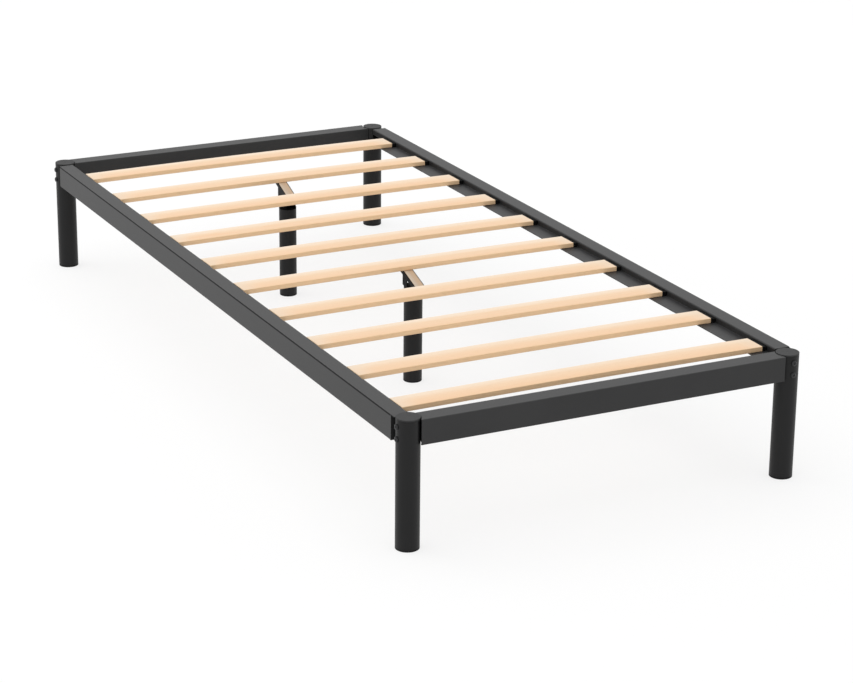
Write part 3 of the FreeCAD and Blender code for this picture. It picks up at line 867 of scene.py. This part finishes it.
def add_floor(stage):
    """A wide plain floor. What is seen of it is mostly white, and the rest takes the shadows."""
    g = graph_of("studio floor")
    plain = g.node("ShaderNodeBsdfDiffuse", {}, {"Color": rgba(stage.floor)})
    lit = g.node("ShaderNodeBsdfDiffuse", {}, {"Color": (0.88, 0.88, 0.88, 1)})
    glow = g.node("ShaderNodeEmission", {}, {"Color": (1, 1, 1, 1), "Strength": 1.0})
    shown = g.node("ShaderNodeMixShader", {}, {0: stage.floor_glow, 1: lit, 2: glow})
    surface = g.node("ShaderNodeMixShader", {}, {0: seen_directly(g), 1: plain, 2: shown})
    g.node("ShaderNodeOutputMaterial", {}, {"Surface": surface})
    span = FLOOR_SPAN * np.array([[-1, -1, 0], [1, -1, 0], [1, 1, 0], [-1, 1, 0]])
    mesh = bpy.data.meshes.new("studio_floor")
    mesh.from_pydata(span - [0, 0, FLOOR_DROP], [], [[0, 1, 2, 3]])
    mesh.materials.append(g.owner)
    holder = bpy.data.objects.new("studio_floor", mesh)
    bpy.context.scene.collection.objects.link(holder)


def add_world(stage):
    """White surroundings where they are seen, and a softer even light where they only fall."""
    world = bpy.data.worlds.new("studio")
    bpy.context.scene.world = world
    g = Graph(world)
    strength = stage.ambient + (1.0 - stage.ambient) * seen_directly(g)
    light = g.node("ShaderNodeBackground", {}, {"Color": (1, 1, 1, 1), "Strength": strength})
    g.node("ShaderNodeOutputWorld", {}, {"Surface": light})


def add_light(name, kind, place, aim, strength):
    """A light that points at a place, and that only falls: neither the camera nor a reflection sees it."""
    data = bpy.data.lights.new(name, kind)
    data.energy = strength
    holder = bpy.data.objects.new(name, data)
    way = (Vector(aim) - Vector(place)).to_track_quat("-Z", "Y")
    holder.matrix_world = Matrix.Translation(place) @ way.to_matrix().to_4x4()
    holder.visible_camera = False
    holder.visible_glossy = False
    bpy.context.scene.collection.objects.link(holder)
    return data


def add_overhead(stage):
    """A broad even light from above, as from a white ceiling."""
    data = add_light("overhead light", "SUN", OVERHEAD_PLACE, (0, 0, 0), stage.overhead)
    data.angle = OVERHEAD_SPREAD


def add_side_lamp(stage):
    """A large soft lamp on the left, towards the head end."""
    data = add_light("side lamp", "AREA", SIDE_LAMP_PLACE, SIDE_LAMP_AIM, stage.side)
    data.shape = "RECTANGLE"
    data.size, data.size_y = SIDE_LAMP_SIZE


# ---------- operators ----------

class OBJECT_OT_bed_steelwork(bpy.types.Operator):
    """Legs, rails and slat ledges in powder coat, with their plates and channels"""
    bl_idname = "object.bed_steelwork"
    bl_label = "Steelwork"

    def execute(self, context):
        steel = context.scene.bed_steel
        rail_coat = powder_coat("rail powder coat", steel, steel.coat, RAIL_GLOSS)
        leg_coat = powder_coat("leg powder coat", steel, steel.leg_coat, LEG_GLOSS)
        # A near-black coat with little gloss, as painted shade on parts that lie in shade
        painted_shade_coat = powder_coat("painted shade powder coat", steel, steel.painted_shade_coat, PLATE_GLOSS)
        add_legs(steel, leg_coat)
        add_end_rails(steel, rail_coat)
        add_side_rails(steel, rail_coat)
        add_ledges(steel, rail_coat)
        paint([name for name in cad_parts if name.endswith(PAINTED_SHADE_PARTS) and name != OPEN_PLATE],
              painted_shade_coat)
        paint([OPEN_PLATE], rail_coat)
        return {"FINISHED"}


class OBJECT_OT_bed_slats(bpy.types.Operator):
    """Ten bowed wooden slats"""
    bl_idname = "object.bed_slats"
    bl_label = "Slats"

    def execute(self, context):
        add_slats(context.scene.bed_wood)
        return {"FINISHED"}


class OBJECT_OT_bed_packing_strips(bpy.types.Operator):
    """Wooden strips on the centre legs"""
    bl_idname = "object.bed_packing_strips"
    bl_label = "Packing strips"

    def execute(self, context):
        add_packing_strips(context.scene.bed_wood)
        return {"FINISHED"}


class OBJECT_OT_bed_mouldings(bpy.types.Operator):
    """Leg caps, glides, and the pads at the slat ends"""
    bl_idname = "object.bed_mouldings"
    bl_label = "Caps, glides and pads"

    def execute(self, context):
        mould = context.scene.bed_mouldings
        add_caps(mould)
        add_feet(mould)
        rubber = moulding("buffer rubber", mould.rubber, roughness=0.8, grain=0.0012, depth=0.00008,
                          gloss=1.2)
        paint(["left_slat_buffers", "right_slat_buffers"], rubber)
        return {"FINISHED"}


class OBJECT_OT_bed_fasteners(bpy.types.Operator):
    """Corner bolts, weld nuts and wood screws"""
    bl_idname = "object.bed_fasteners"
    bl_label = "Fasteners"

    def execute(self, context):
        add_bolts()
        paint(["weld_nuts", "slat_screws", "strip_screws"], zinc_plate("zinc plate"))
        return {"FINISHED"}


class OBJECT_OT_bed_stage(bpy.types.Operator):
    """Floor, surroundings, lamps and camera"""
    bl_idname = "object.bed_stage"
    bl_label = "Studio"

    def execute(self, context):
        stage = context.scene.bed_stage
        add_camera(stage)
        add_floor(stage)
        add_world(stage)
        add_overhead(stage)
        add_side_lamp(stage)
        context.scene.view_settings.view_transform = "Standard"
        return {"FINISHED"}


OPERATORS = (OBJECT_OT_bed_stage, OBJECT_OT_bed_steelwork, OBJECT_OT_bed_slats, OBJECT_OT_bed_packing_strips,
             OBJECT_OT_bed_mouldings, OBJECT_OT_bed_fasteners)
SETTINGS = {"bed_steel": BedSteelSettings, "bed_wood": BedWoodSettings,
            "bed_mouldings": BedMouldingSettings, "bed_stage": BedStageSettings}


class VIEW3D_PT_bed_frame(bpy.types.Panel):
    """Lists the pieces of the bed frame and their settings"""
    bl_label = "Bed Frame"
    bl_idname = "VIEW3D_PT_bed_frame"
    bl_space_type = "VIEW_3D"
    bl_region_type = "UI"
    bl_category = "Bed Frame"

    def draw(self, context):
        for operator in OPERATORS:
            self.layout.operator(operator.bl_idname)
        for holder in SETTINGS:
            box = self.layout.box()
            settings = getattr(context.scene, holder)
            for name in settings.__annotations__:
                box.prop(settings, name)


def register():
    """Adds the classes, and the settings to the scene."""
    for kind in (*SETTINGS.values(), *OPERATORS, VIEW3D_PT_bed_frame):
        bpy.utils.register_class(kind)
    for holder, kind in SETTINGS.items():
        setattr(bpy.types.Scene, holder, PointerProperty(type=kind))


def unregister():
    """Takes them away again."""
    for holder in SETTINGS:
        delattr(bpy.types.Scene, holder)
    for kind in (VIEW3D_PT_bed_frame, *reversed(OPERATORS), *reversed(SETTINGS.values())):
        bpy.utils.unregister_class(kind)


def main():
    """Builds every piece in order."""
    register()
    for operator in OPERATORS:
        getattr(bpy.ops.object, operator.bl_idname.split(".")[1])()


if __name__ == "__main__":
    main()
